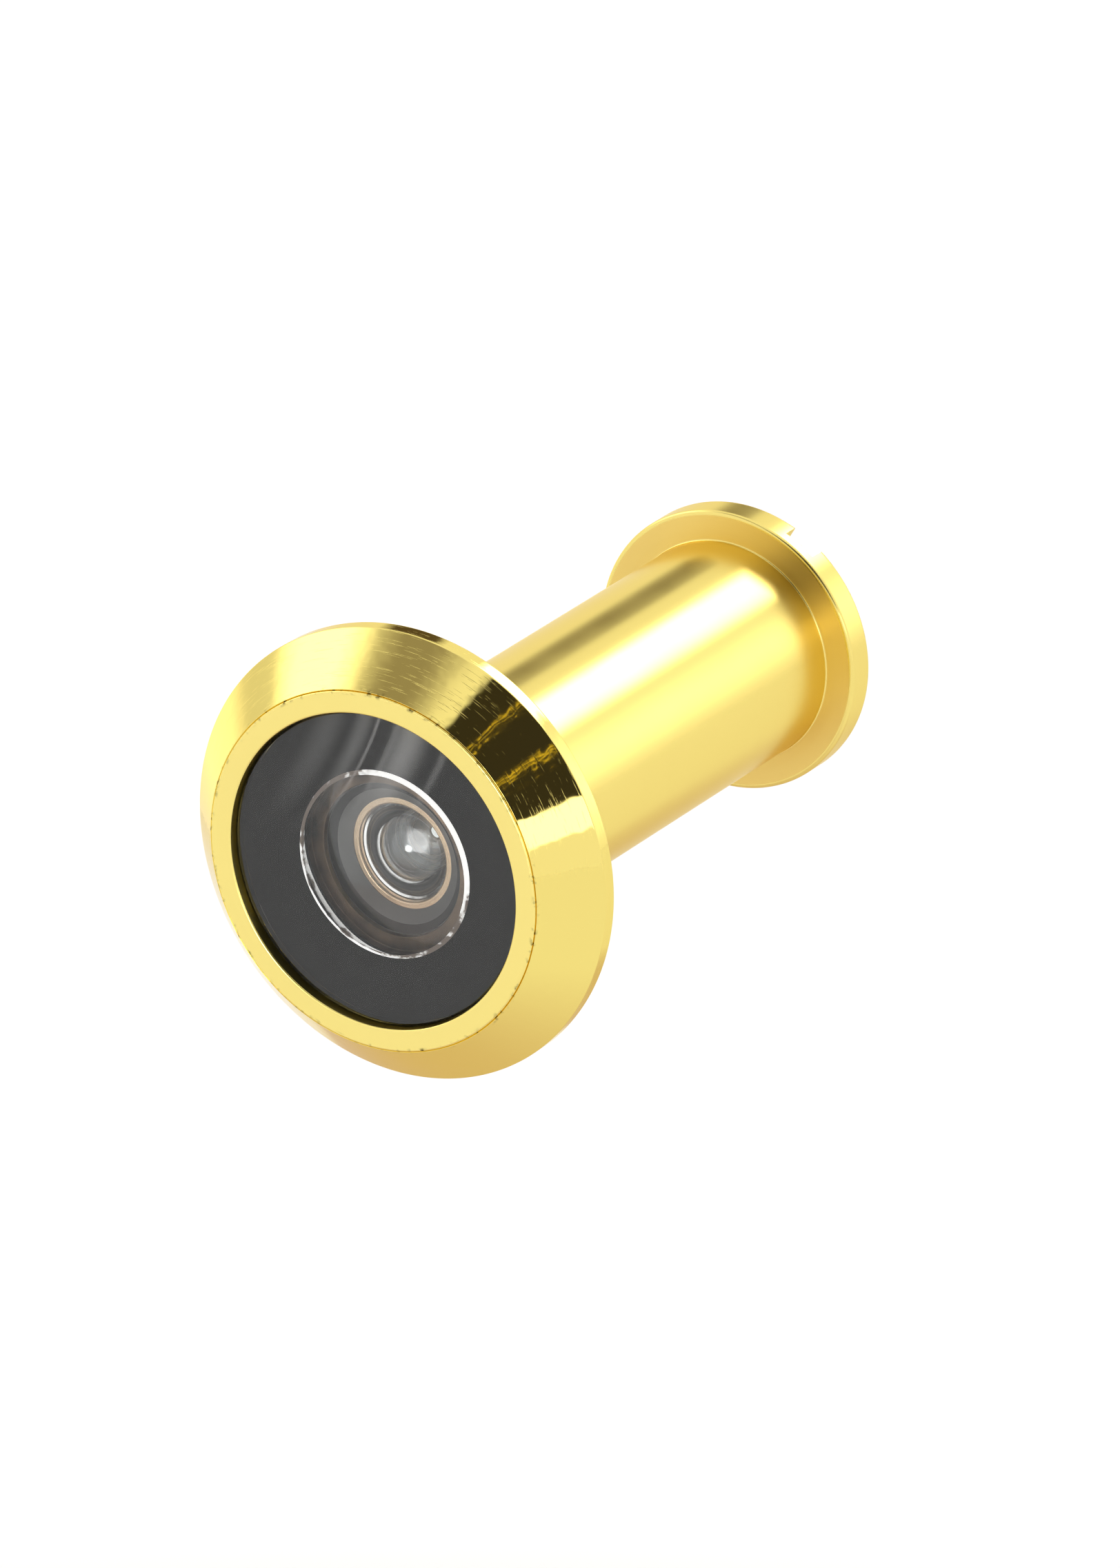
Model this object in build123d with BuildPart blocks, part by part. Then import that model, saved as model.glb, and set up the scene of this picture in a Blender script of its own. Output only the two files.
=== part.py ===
from build123d import *
import math
import os

# Door viewer (peephole) for a 14 mm hole through a door, in millimetres.
# The optical axis is Y. The outdoor side faces -Y, the room side +Y, and up is +Z.
# The origin is on the optical axis, in the plane where the rose sits on the door.
# Every turned piece is a half section in the XY plane (x is the radius), revolved about Y.

os.makedirs("parts", exist_ok=True)

# ---------------------------------------------------------------- driving dimensions
sleeve_r = 7.0              # outside of the sleeve, for the standard 14 mm hole
grip = 36.0                 # door thickness as set, seat to seat
grip_travel = 24.0          # the sleeve unscrews this far, for a 60 mm door
slip = 0.05                 # radial play of a loose-fitted lens or ring

rose_r = 14.0               # outside of the bevelled rose
rose_depth = 4.2            # from the door to the front face
rim_depth = 1.0             # cylindrical rim behind the bevel
rim_round = 0.12
rose_hole_r = 7.3           # lets the sleeve's end come through the rose's back

cup_r = 11.15               # lens cup, pressed into the rose
cup_back_y = -0.9
recess_r = 9.8
seam_chamfer = 0.08         # the fine groove between the cup's face and the bevel
lens_front_y = -3.65
lens_back_y = -2.15
hollow_r = 5.85             # edge of the objective's hollow
hollow_depth = 1.1
ground_edge = 0.27          # ground bevel round the hollow, which shows white
lens_chamfer = 0.15
mask_depth = 0.12
seal_depth = 0.35
seal_inner_r = 8.2

lens_bore_r = 5.3           # bore of the barrel, which holds the inner lenses
lip_r = 5.0                 # shoulder that the inner stack rests against
lip_y = -1.75
stack_y = -1.45
hub_back_y = -0.3

pitch = 1.0                 # the thread between barrel and sleeve
root_r = 5.85
crest_r = 6.3
minor_r = 6.0
major_r = 6.45
thread_gap = 0.115          # play along the axis between the flanks
crest_half = 0.12           # half width of the barrel's thread at its crest
root_half = 0.36
barrel_end_y = 32.2
thread_start_y = 1.0
thread_end_gap = 0.4        # plain end of the barrel, past the last turn
sleeve_thread_turns = 8
overlap_in = 0.05           # how far a thread's foot is sunk into its tube, so that they fuse

baffle_back_y = -0.3
baffle_hole_r = 3.8
cell_back_y = 7.4
cell_lip_r = 3.4
cell_lip_depth = 0.5
cell_bore_r = 4.3
dome_r = 3.2
dome_rise = 1.2
second_back_y = 1.9
second_hollow_r = 2.8
second_hollow_depth = 1.9
spacer_back_y = 3.8
spacer_hole_r = 3.2
third_back_y = 5.9
third_hollow_r = 3.2
third_front_sag = 0.6
third_back_sag = 0.7
cell_ring_back_y = 7.1
ring_back_y = 8.9
ring_hole_r = 4.0
spanner_width = 0.8
spanner_depth = 0.6

sleeve_front_y = 0.3
flange_r = 8.9              # room-side flange
flange_depth = 2.0
flange_round = 0.25
mouth_chamfer = 0.2
slot_width = 2.2            # coin slot across the flange
slot_depth = 1.2
slot_angle = 58.5           # from +X towards +Z, as set
eye_r = 4.2
eye_flare = 0.5
eye_bore_r = 6.0
eye_bore_y = 32.9
eye_seat_y = 36.0
washer_depth = 0.3
washer_hole_r = 4.4
eyepiece_edge_y = 34.9
eyepiece_dome_r = 4.9
eyepiece_rise = 1.1
eyepiece_ring_front_y = 33.3
eyepiece_ring_hole_r = 5.0

flange_front_y = grip
flange_back_y = grip + flange_depth


def finish(piece, name):
    """Name a finished piece and write it as its own STEP file."""
    piece.label = name
    export_step(piece, f"parts/{name}.step")


def radial_plane(path):
    """Plane through the helix's start that holds the axis, with x pointing outwards."""
    start = path @ 0
    outwards = Vector(start.X, 0, start.Z).normalized()
    return Plane(origin=start, x_dir=outwards, z_dir=outwards.cross(Vector(0, 1, 0)))


# ---------------------------------------------------------------- threaded barrel and lens cup
# One brass turning: the cup that holds the objective, a short hub that centres the rose,
# and the threaded barrel that the sleeve screws onto.
mask_back_y = lens_back_y + mask_depth
seal_back_y = mask_back_y + seal_depth
barrel_thread_length = barrel_end_y - thread_start_y - thread_end_gap - pitch / 2

with BuildPart() as front_barrel:
    with BuildSketch(Plane.XY):
        with BuildLine():
            Polyline(
                (recess_r + seam_chamfer, -rose_depth),
                (cup_r - seam_chamfer, -rose_depth),
                (cup_r, -rose_depth + seam_chamfer),
                (cup_r, cup_back_y),
                (rose_hole_r - slip, cup_back_y),
                (rose_hole_r - slip, hub_back_y),
                (root_r, hub_back_y),
                (root_r, barrel_end_y),
                (lens_bore_r, barrel_end_y),
                (lens_bore_r, stack_y),
                (lip_r, stack_y),
                (lip_r, lip_y),
                (hollow_r, lip_y),
                (hollow_r, mask_back_y),
                (seal_inner_r, mask_back_y),
                (seal_inner_r, seal_back_y),
                (recess_r, seal_back_y),
                (recess_r, -rose_depth + seam_chamfer),
                close=True,
            )
        make_face()
    revolve(axis=Axis.Y)
    with BuildLine() as barrel_helix:
        Helix(pitch, barrel_thread_length, root_r, center=(0, thread_start_y, 0), direction=(0, 1, 0))
    with BuildSketch(radial_plane(barrel_helix.line)):
        with BuildLine():
            Polyline(
                (-overlap_in, -root_half),
                (0, -root_half),
                (crest_r - root_r, -crest_half),
                (crest_r - root_r, crest_half),
                (0, root_half),
                (-overlap_in, root_half),
                close=True,
            )
        make_face()
    sweep(path=barrel_helix.line, is_frenet=True)
finish(front_barrel.part, "front_barrel")

# ---------------------------------------------------------------- bevelled rose
# The polished outer ring: a cone from the cup's face out to a short cylindrical rim.
with BuildPart() as bevel_rose:
    with BuildSketch(Plane.XY):
        with BuildLine():
            Polyline(
                (cup_r, -rose_depth + 2 * seam_chamfer),
                (cup_r + seam_chamfer, -rose_depth + seam_chamfer),
                (rose_r, -rim_depth),
                (rose_r, 0),
                (rose_hole_r, 0),
                (rose_hole_r, cup_back_y),
                (cup_r, cup_back_y),
                close=True,
            )
        make_face()
    revolve(axis=Axis.Y)
    rim_edges = bevel_rose.edges().filter_by(GeomType.CIRCLE).group_by(lambda e: round(e.radius, 3))[-1]
    fillet(rim_edges, rim_round)
finish(bevel_rose.part, "bevel_rose")

# ---------------------------------------------------------------- objective, mask and seal
# Flat-fronted glass disc with a spherical hollow ground into its back.
with BuildPart() as objective_lens:
    with BuildSketch(Plane.XY):
        with BuildLine():
            bowl = TangentArc(
                (0, lens_back_y - hollow_depth),
                (hollow_r - ground_edge, lens_back_y - ground_edge),
                tangent=(1, 0),
            )
            Polyline(
                bowl @ 1,
                (hollow_r, lens_back_y),
                (recess_r - slip, lens_back_y),
                (recess_r - slip, lens_front_y),
                (0, lens_front_y),
                bowl @ 0,
            )
        make_face()
    revolve(axis=Axis.Y)
    chamfer(objective_lens.edges().filter_by(GeomType.CIRCLE).group_by(Axis.Y)[0], lens_chamfer)
finish(objective_lens.part, "objective_lens")

# Black ring that blanks out the cup round the hollow.
with BuildPart() as mask_ring:
    with BuildSketch(Plane.XZ.offset(-lens_back_y)):
        Circle(recess_r - slip)
        Circle(hollow_r, mode=Mode.SUBTRACT)
    extrude(amount=-mask_depth)
finish(mask_ring.part, "mask_ring")

# Flat rubber ring in the groove in the cup's floor, which keeps the weather out.
with BuildPart() as lens_seal:
    with BuildSketch(Plane.XZ.offset(-mask_back_y)):
        Circle(recess_r - slip)
        Circle(seal_inner_r + slip, mode=Mode.SUBTRACT)
    extrude(amount=-seal_depth)
finish(lens_seal.part, "lens_seal")

# ---------------------------------------------------------------- inner stack of the barrel
# Black funnel between the objective and the second lens.
with BuildPart() as baffle_cone:
    with BuildSketch(Plane.XY):
        with BuildLine():
            Polyline(
                (lip_r - slip, stack_y),
                (lens_bore_r - slip, stack_y),
                (lens_bore_r - slip, baffle_back_y),
                (baffle_hole_r, baffle_back_y),
                close=True,
            )
        make_face()
    revolve(axis=Axis.Y)
finish(baffle_cone.part, "baffle_cone")

# Brass cell with a front lip, holding the second and third lenses.
cell_seat_y = baffle_back_y + cell_lip_depth
with BuildPart() as lens_cell:
    with BuildSketch(Plane.XY):
        with BuildLine():
            Polyline(
                (cell_lip_r, baffle_back_y),
                (lens_bore_r - slip, baffle_back_y),
                (lens_bore_r - slip, cell_back_y),
                (cell_bore_r, cell_back_y),
                (cell_bore_r, cell_seat_y),
                (cell_lip_r, cell_seat_y),
                close=True,
            )
        make_face()
    revolve(axis=Axis.Y)
finish(lens_cell.part, "lens_cell")

# Meniscus: its dome stands out through the cell's lip, and a deep hollow is ground behind it.
with BuildPart() as second_lens:
    with BuildSketch(Plane.XY):
        with BuildLine():
            dome = TangentArc((0, cell_seat_y - dome_rise), (dome_r, cell_seat_y), tangent=(1, 0))
            bowl = TangentArc(
                (0, second_back_y - second_hollow_depth), (second_hollow_r, second_back_y), tangent=(1, 0)
            )
            Polyline(
                dome @ 1,
                (cell_bore_r - slip, cell_seat_y),
                (cell_bore_r - slip, second_back_y),
                bowl @ 1,
            )
            Line(dome @ 0, bowl @ 0)
        make_face()
    revolve(axis=Axis.Y)
finish(second_lens.part, "second_lens")

# Blackened ring that spaces the two cell lenses and stops stray light.
with BuildPart() as cell_spacer:
    with BuildSketch(Plane.XZ.offset(-second_back_y)):
        Circle(cell_bore_r - slip)
        Circle(spacer_hole_r, mode=Mode.SUBTRACT)
    extrude(amount=-(spacer_back_y - second_back_y))
finish(cell_spacer.part, "cell_spacer")

# Lens hollow on both faces.
with BuildPart() as third_lens:
    with BuildSketch(Plane.XY):
        with BuildLine():
            front_bowl = TangentArc(
                (0, spacer_back_y + third_front_sag), (third_hollow_r, spacer_back_y), tangent=(1, 0)
            )
            back_bowl = TangentArc(
                (0, third_back_y - third_back_sag), (third_hollow_r, third_back_y), tangent=(1, 0)
            )
            Polyline(
                front_bowl @ 1,
                (cell_bore_r - slip, spacer_back_y),
                (cell_bore_r - slip, third_back_y),
                back_bowl @ 1,
            )
            Line(front_bowl @ 0, back_bowl @ 0)
        make_face()
    revolve(axis=Axis.Y)
finish(third_lens.part, "third_lens")

# ---------------------------------------------------------------- lock rings
# Each ring screws in behind a lens. Two notches across its open face take a pin spanner.
lock_rings = {
    "cell_lock_ring": (cell_bore_r, spacer_hole_r, third_back_y, cell_ring_back_y, 1),
    "barrel_lock_ring": (lens_bore_r, ring_hole_r, cell_back_y, ring_back_y, 1),
    "eyepiece_lock_ring": (eye_bore_r, eyepiece_ring_hole_r, eyepiece_ring_front_y, eyepiece_edge_y, -1),
}
for ring_name, (outer_r, hole_r, front_y, back_y, open_side) in lock_rings.items():
    with BuildPart() as lock_ring:
        with BuildSketch(Plane.XZ.offset(-front_y)):
            Circle(outer_r - slip / 2)
            Circle(hole_r, mode=Mode.SUBTRACT)
        extrude(amount=-(back_y - front_y))
        open_y = back_y if open_side > 0 else front_y
        with BuildSketch(Plane.XZ.offset(-open_y)):
            Rectangle(3 * outer_r, spanner_width)
        extrude(amount=open_side * spanner_depth, mode=Mode.SUBTRACT)
    finish(lock_ring.part, ring_name)

# ---------------------------------------------------------------- sleeve
# The room-side half: a smooth tube with a slotted flange. Its mouth is threaded inside for
# the barrel, and its other end is bored for the eyepiece.
thread_slope = (root_half - crest_half) / (crest_r - root_r)


def barrel_half(radius):
    """Half width of the barrel's thread at a radius."""
    return crest_half + thread_slope * (crest_r - radius)


sleeve_crest_half = pitch / 2 - thread_gap - barrel_half(minor_r)
sleeve_base_half = pitch / 2 - thread_gap - barrel_half(major_r)

with BuildPart() as rear_sleeve:
    with BuildSketch(Plane.XY):
        with BuildLine():
            Polyline(
                (major_r, sleeve_front_y),
                (sleeve_r - mouth_chamfer, sleeve_front_y),
                (sleeve_r, sleeve_front_y + mouth_chamfer),
                (sleeve_r, flange_front_y),
                (flange_r, flange_front_y),
                (flange_r, flange_back_y),
                (eye_r + eye_flare, flange_back_y),
                (eye_r, flange_back_y - eye_flare),
                (eye_r, eye_seat_y),
                (eye_bore_r, eye_seat_y),
                (eye_bore_r, eye_bore_y),
                (major_r, eye_bore_y),
                close=True,
            )
        make_face()
    revolve(axis=Axis.Y)
    flange_edges = rear_sleeve.edges().filter_by(GeomType.CIRCLE).group_by(lambda e: round(e.radius, 3))[-1]
    fillet(flange_edges, flange_round)
    slot_direction = Vector(math.cos(math.radians(slot_angle)), 0, math.sin(math.radians(slot_angle)))
    slot_floor_y = flange_back_y - slot_depth
    with BuildSketch(Plane(origin=(0, slot_floor_y, 0), x_dir=slot_direction, z_dir=(0, 1, 0))):
        Rectangle(3 * flange_r, slot_width)
    extrude(amount=2 * slot_depth, mode=Mode.SUBTRACT)
    with BuildLine() as sleeve_helix:
        Helix(
            pitch,
            sleeve_thread_turns * pitch,
            major_r,
            center=(0, thread_start_y + pitch / 2, 0),
            direction=(0, 1, 0),
        )
    with BuildSketch(radial_plane(sleeve_helix.line)):
        with BuildLine():
            Polyline(
                (overlap_in, -sleeve_base_half),
                (0, -sleeve_base_half),
                (minor_r - major_r, -sleeve_crest_half),
                (minor_r - major_r, sleeve_crest_half),
                (0, sleeve_base_half),
                (overlap_in, sleeve_base_half),
                close=True,
            )
        make_face()
    sweep(path=sleeve_helix.line, is_frenet=True)
finish(rear_sleeve.part, "rear_sleeve")

# ---------------------------------------------------------------- eyepiece
# Plano-convex lens, flat towards the eye.
eyepiece_flat_y = eye_seat_y - washer_depth
with BuildPart() as eyepiece_lens:
    with BuildSketch(Plane.XY):
        with BuildLine():
            dome = TangentArc(
                (0, eyepiece_edge_y - eyepiece_rise), (eyepiece_dome_r, eyepiece_edge_y), tangent=(1, 0)
            )
            Polyline(
                dome @ 1,
                (eye_bore_r - slip, eyepiece_edge_y),
                (eye_bore_r - slip, eyepiece_flat_y),
                (0, eyepiece_flat_y),
                dome @ 0,
            )
        make_face()
    revolve(axis=Axis.Y)
finish(eyepiece_lens.part, "eyepiece_lens")

# Black fibre washer between the eyepiece and the sleeve's shoulder.
with BuildPart() as eyepiece_washer:
    with BuildSketch(Plane.XZ.offset(-eyepiece_flat_y)):
        Circle(eye_bore_r - slip)
        Circle(washer_hole_r, mode=Mode.SUBTRACT)
    extrude(amount=-washer_depth)
finish(eyepiece_washer.part, "eyepiece_washer")

print("sleeve travel", grip_travel, "mm =", grip_travel / pitch, "turns")
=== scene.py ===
import math

import bmesh
import bpy
import numpy as np
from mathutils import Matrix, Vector


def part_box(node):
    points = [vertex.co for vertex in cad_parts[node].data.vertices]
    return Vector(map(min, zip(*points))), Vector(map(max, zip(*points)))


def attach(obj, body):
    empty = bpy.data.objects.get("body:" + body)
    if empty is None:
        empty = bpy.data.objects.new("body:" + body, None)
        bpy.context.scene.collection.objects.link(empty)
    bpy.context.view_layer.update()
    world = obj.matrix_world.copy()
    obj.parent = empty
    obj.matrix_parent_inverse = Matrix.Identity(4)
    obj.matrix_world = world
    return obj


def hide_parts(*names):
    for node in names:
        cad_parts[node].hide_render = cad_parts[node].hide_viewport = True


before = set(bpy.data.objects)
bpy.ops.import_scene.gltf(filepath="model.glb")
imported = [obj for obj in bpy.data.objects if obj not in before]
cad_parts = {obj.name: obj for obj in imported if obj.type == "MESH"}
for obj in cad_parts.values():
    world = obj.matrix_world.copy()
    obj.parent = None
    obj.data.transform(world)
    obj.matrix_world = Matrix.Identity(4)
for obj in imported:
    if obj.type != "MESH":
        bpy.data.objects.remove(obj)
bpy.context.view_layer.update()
MM = 0.001

# ------------------------------------------------------------------------------------ camera
# A long lens about 0.8 m away, above and to the right of the outdoor side, so that the tube
# runs back to the upper right.
AZIMUTH, ELEVATION = math.radians(31.52), math.radians(22.72)
DISTANCE = 803.2 * MM
LENS_MM = 316.6
ASIDE, BELOW = 10.96 * MM, 5.14 * MM    # how far the front face's centre is left of and below the axis

forwards = Vector((
    -math.sin(AZIMUTH) * math.cos(ELEVATION),
    math.cos(AZIMUTH) * math.cos(ELEVATION),
    -math.sin(ELEVATION),
))
rightwards = Vector((math.cos(AZIMUTH), math.sin(AZIMUTH), 0))
upwards = rightwards.cross(forwards)
front_face_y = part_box("front_barrel")[0].y
front_centre = Vector((0, front_face_y, 0))

camera_data = bpy.data.cameras.new("camera")
camera_data.lens = LENS_MM
camera = bpy.data.objects.new("camera", camera_data)
camera.location = front_centre + ASIDE * rightwards + BELOW * upwards - DISTANCE * forwards
camera.rotation_euler = forwards.to_track_quat("-Z", "Y").to_euler()
camera_data.clip_start, camera_data.clip_end = 0.01, 100
bpy.context.scene.collection.objects.link(camera)
bpy.context.scene.camera = camera
bpy.context.scene.view_settings.view_transform = "Standard"


# ------------------------------------------------------------------------------------ floor
# A matt white table, well below the viewer, which is held up as it is in a door. Below the viewer the table
# carries painted shade.
def srgb(code):
    """Linear red, green, blue and alpha of an sRGB hex colour."""
    parts = np.array([int(code[i:i + 2], 16) for i in (1, 3, 5)]) / 255
    linear = np.where(parts <= 0.04045, parts / 12.92, ((parts + 0.055) / 1.055) ** 2.4)
    return (*linear, 1.0)


def add(tree, kind, inputs=None, **settings):
    """Adds one node: settings are its properties, and inputs are socket values or links."""
    node = tree.nodes.new(kind)
    for key, value in settings.items():
        setattr(node, key, value)
    for key, value in (inputs or {}).items():
        if isinstance(value, bpy.types.NodeSocket):
            tree.links.new(value, node.inputs[key])
        else:
            node.inputs[key].default_value = value
    return node


def new_material(name):
    """An empty node material and its tree, with an output node."""
    material = bpy.data.materials.new(name)
    material.use_nodes = True
    material.node_tree.nodes.clear()
    output = add(material.node_tree, "ShaderNodeOutputMaterial")
    return material, material.node_tree, output


def add_piece(name, vertices, faces, material):
    """Puts a mesh piece in the scene, from vertices in metres."""
    mesh = bpy.data.meshes.new(name)
    mesh.from_pydata(vertices.tolist(), [], faces.tolist())
    mesh.polygons.foreach_set("use_smooth", np.full(len(mesh.polygons), True))
    mesh.materials.append(material)
    mesh.validate()
    piece = bpy.data.objects.new(name, mesh)
    bpy.context.scene.collection.objects.link(piece)
    return piece


FLOOR_Z = -160 * MM
# The table ends close by on the left, where the tent hangs lower.
FLOOR_HALF, FLOOR_LEFT = 1000 * MM, 300 * MM
# Painted shade: below the viewer the card is painted a darker cream, where the viewer's shade falls, and it
# is white farther out and towards its lit side.
SHADE_FULL_R, SHADE_GONE_R = 205 * MM, 242 * MM
LIT_SIDE = (1, -0.3, 0)
LIT_FROM, LIT_TO = -40 * MM, 170 * MM
paper, tree, output = new_material("matt white card with painted shade")
place = add(tree, "ShaderNodeTexCoord").outputs["Object"]
place = add(tree, "ShaderNodeVectorMath", {0: place, 1: (1, 1, 0)}, operation="MULTIPLY").outputs[0]
away = add(tree, "ShaderNodeVectorMath", {0: place}, operation="LENGTH").outputs["Value"]
unmarked = add(
    tree, "ShaderNodeMapRange", {"Value": away, "From Min": SHADE_FULL_R, "From Max": SHADE_GONE_R},
    interpolation_type="SMOOTHSTEP",
).outputs[0]
aside = add(tree, "ShaderNodeVectorMath", {0: place, 1: LIT_SIDE}, operation="DOT_PRODUCT").outputs["Value"]
painted_lit_share = add(
    tree, "ShaderNodeMapRange", {"Value": aside, "From Min": LIT_FROM, "From Max": LIT_TO},
    interpolation_type="SMOOTHSTEP",
).outputs[0]
unmarked = add(tree, "ShaderNodeMath", {0: unmarked, 1: painted_lit_share}, operation="MAXIMUM").outputs[0]
# The darker cream is painted shade; the white is the card's own colour.
card_and_shade_colour = add(
    tree, "ShaderNodeMix", {0: unmarked, 6: srgb("#DCCDC6"), 7: srgb("#F6F6F4")}, data_type="RGBA"
).outputs[2]
paper_surface = add(tree, "ShaderNodeBsdfPrincipled", {"Base Color": card_and_shade_colour, "Roughness": 0.9})
tree.links.new(paper_surface.outputs[0], output.inputs["Surface"])
corners = np.array([
    [-FLOOR_LEFT, -FLOOR_HALF, FLOOR_Z], [FLOOR_HALF, -FLOOR_HALF, FLOOR_Z],
    [FLOOR_HALF, FLOOR_HALF, FLOOR_Z], [-FLOOR_LEFT, FLOOR_HALF, FLOOR_Z],
])
floor = add_piece("table", corners, np.array([[0, 1, 2, 3]]), paper)

# ------------------------------------------------------------------------------------ light
# A white tent lit from outside. Some of its panels are brighter than the cloth and some are dim,
# and the opening at its front is dark. Each panel is a soft-edged rectangle of the sky.
TENT_LEVEL = 1.08
# azimuth, elevation, half width and half height in degrees, level, edge softness as a tangent, colour
PANELS = {
    "opening": (34, 41, 30, 23, 0.042, 0.01, "#FFF2E8"),
    "side_light": (60, 11, 14, 6, 2.6, 0.012, "#FFFFFF"),
    "top_seam": (-9, 66, 12, 3.5, 1.1, 0.03, "#FFFFFF"),
    "dim_roof": (-45, 61, 19, 8, 0.36, 0.1, "#FFF6F0"),
    "left_light": (-86, 31, 13, 14, 2.6, 0.14, "#FFFFFF"),
    "left_fold": (-101, 5, 6, 9, 0.9, 0.08, "#FFFFFF"),
    "left_low_light": (-119, -11, 14, 10, 1.6, 0.12, "#FFFFFF"),
    "back_light": (167, 41, 13, 8, 8.0, 0.05, "#FFFFFF"),
    "back_shade": (-151, 24, 6, 9, 0.12, 0.03, "#FFE2C8"),
    "right_glow": (145, 12, 13, 11, 2.1, 0.2, "#FFFFFF"),
    "eye_light": (-5, -3, 4.5, 4.2, 32.0, 0.075, "#FFFFFF"),
}
# Two strips of crumpled gold foil hang in the opening.
CRUMPLES, CRUMPLE_DEPTH = 34.0, 0.2     # how many to a unit of direction, and how far they bend it
GLINTS = {
    "first_glint": (51, 33, 0.35, 4.0, 1.0, 0.006, "#FFE05A"),
    "second_glint": (37, 53, 0.3, 2.6, 1.1, 0.006, "#FFE05A"),
}


def panel_mask(tree, direction, azimuth, elevation, half_wide, half_high, soft):
    """1 inside a rectangle of the sky about a direction, and 0 outside it.

    The direction is projected onto the plane that touches the unit sphere at the panel's
    centre, where the rectangle's sides are the tangents of its half angles."""
    a, e = math.radians(azimuth), math.radians(elevation)
    centre = (math.sin(a) * math.cos(e), -math.cos(a) * math.cos(e), math.sin(e))
    side = (math.cos(a), math.sin(a), 0)
    top = (-math.sin(a) * math.sin(e), math.cos(a) * math.sin(e), math.cos(e))
    depth = add(
        tree, "ShaderNodeVectorMath", {0: direction, 1: centre}, operation="DOT_PRODUCT"
    ).outputs["Value"]
    mask = add(tree, "ShaderNodeMath", {0: depth, 1: 0.0}, operation="GREATER_THAN").outputs[0]
    for across, half in ((side, half_wide), (top, half_high)):
        reach = add(
            tree, "ShaderNodeVectorMath", {0: direction, 1: across}, operation="DOT_PRODUCT"
        ).outputs["Value"]
        slope = add(tree, "ShaderNodeMath", {0: reach, 1: depth}, operation="DIVIDE").outputs[0]
        away = add(tree, "ShaderNodeMath", {0: slope}, operation="ABSOLUTE").outputs[0]
        limit = math.tan(math.radians(half))
        inside = add(
            tree, "ShaderNodeMapRange",
            {"Value": away, "From Min": limit + soft, "From Max": max(limit - soft, 0.0)},
            interpolation_type="SMOOTHSTEP",
        ).outputs[0]
        mask = add(tree, "ShaderNodeMath", {0: mask, 1: inside}, operation="MULTIPLY").outputs[0]
    return mask


tent = bpy.data.worlds.new("white tent")
tent.use_nodes = True
tree = tent.node_tree
tree.nodes.clear()
direction = add(tree, "ShaderNodeTexCoord").outputs["Generated"]
crumple = add(tree, "ShaderNodeTexNoise", {"Vector": direction, "Scale": CRUMPLES, "Detail": 4.0})
crumple = add(
    tree, "ShaderNodeVectorMath", {0: crumple.outputs["Color"], 1: (0.5, 0.5, 0.5)}, operation="SUBTRACT"
).outputs[0]
crumple = add(
    tree, "ShaderNodeVectorMath", {0: crumple, "Scale": CRUMPLE_DEPTH}, operation="SCALE"
).outputs[0]
crumpled = add(tree, "ShaderNodeVectorMath", {0: direction, 1: crumple}, operation="ADD").outputs[0]
light = tuple(TENT_LEVEL * part for part in srgb("#FFFFFF"))
for panels, seen_from in ((PANELS, direction), (GLINTS, crumpled)):
    for azimuth, elevation, wide, high, strength, soft, tint in panels.values():
        mask = panel_mask(tree, seen_from, azimuth, elevation, wide, high, soft)
        glow = tuple(strength * part for part in srgb(tint))
        light = add(tree, "ShaderNodeMix", {0: mask, 6: light, 7: glow}, data_type="RGBA").outputs[2]
background = add(tree, "ShaderNodeBackground", {"Color": light, "Strength": 1.0})
tent_output = add(tree, "ShaderNodeOutputWorld")
tree.links.new(background.outputs[0], tent_output.inputs["Surface"])
bpy.context.scene.world = tent

# ------------------------------------------------------------------------------------ bevelled rose
# Turned brass ring, buffed to a mirror and lacquered, and pressed over the lens cup. Its cone
# runs from a fine seam beside the cup's face out to a short cylindrical rim.


def arc_points(centre, radius, start, stop, count):
    """Points on a circle in the (radius, y) plane, from one angle to another."""
    angles = np.linspace(start, stop, count)
    return np.stack([centre[0] + radius * np.cos(angles), centre[1] + radius * np.sin(angles)], 1)


def rounded(corners, sizes, count=5):
    """A closed outline whose corners are arcs.

    Each corner (radius, y) with size s becomes an arc of radius s that touches both sides, and
    two points lie just outside the arc, so that smooth shading ends there. Size 0 stays sharp."""
    corners = np.asarray(corners, float)
    outline = []
    for i, (corner, size) in enumerate(zip(corners, sizes)):
        before, after = corners[i - 1], corners[(i + 1) % len(corners)]
        into = (before - corner) / np.linalg.norm(before - corner)
        out = (after - corner) / np.linalg.norm(after - corner)
        if size == 0:
            outline.append(corner)
            continue
        half = math.acos(np.clip(into @ out, -1, 1)) / 2
        reach = size / math.tan(half)
        middle = (into + out) / np.linalg.norm(into + out)
        centre = corner + middle * size / math.sin(half)
        start, stop = corner + into * reach, corner + out * reach
        first = math.atan2(*(start - centre)[::-1])
        turn = math.atan2(*(stop - centre)[::-1]) - first
        turn = (turn + math.pi) % (2 * math.pi) - math.pi
        outline.append(corner + into * (reach + 0.25 * size))
        outline.extend(arc_points(centre, size, first, first + turn, count))
        outline.append(corner + out * (reach + 0.25 * size))
    return np.array(outline)


def signed_area(outline):
    """Area of an outline in the (radius, y) plane, positive when it runs anticlockwise."""
    r, y = outline.T
    return 0.5 * np.sum(r * np.roll(y, -1) - np.roll(r, -1) * y)


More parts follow.
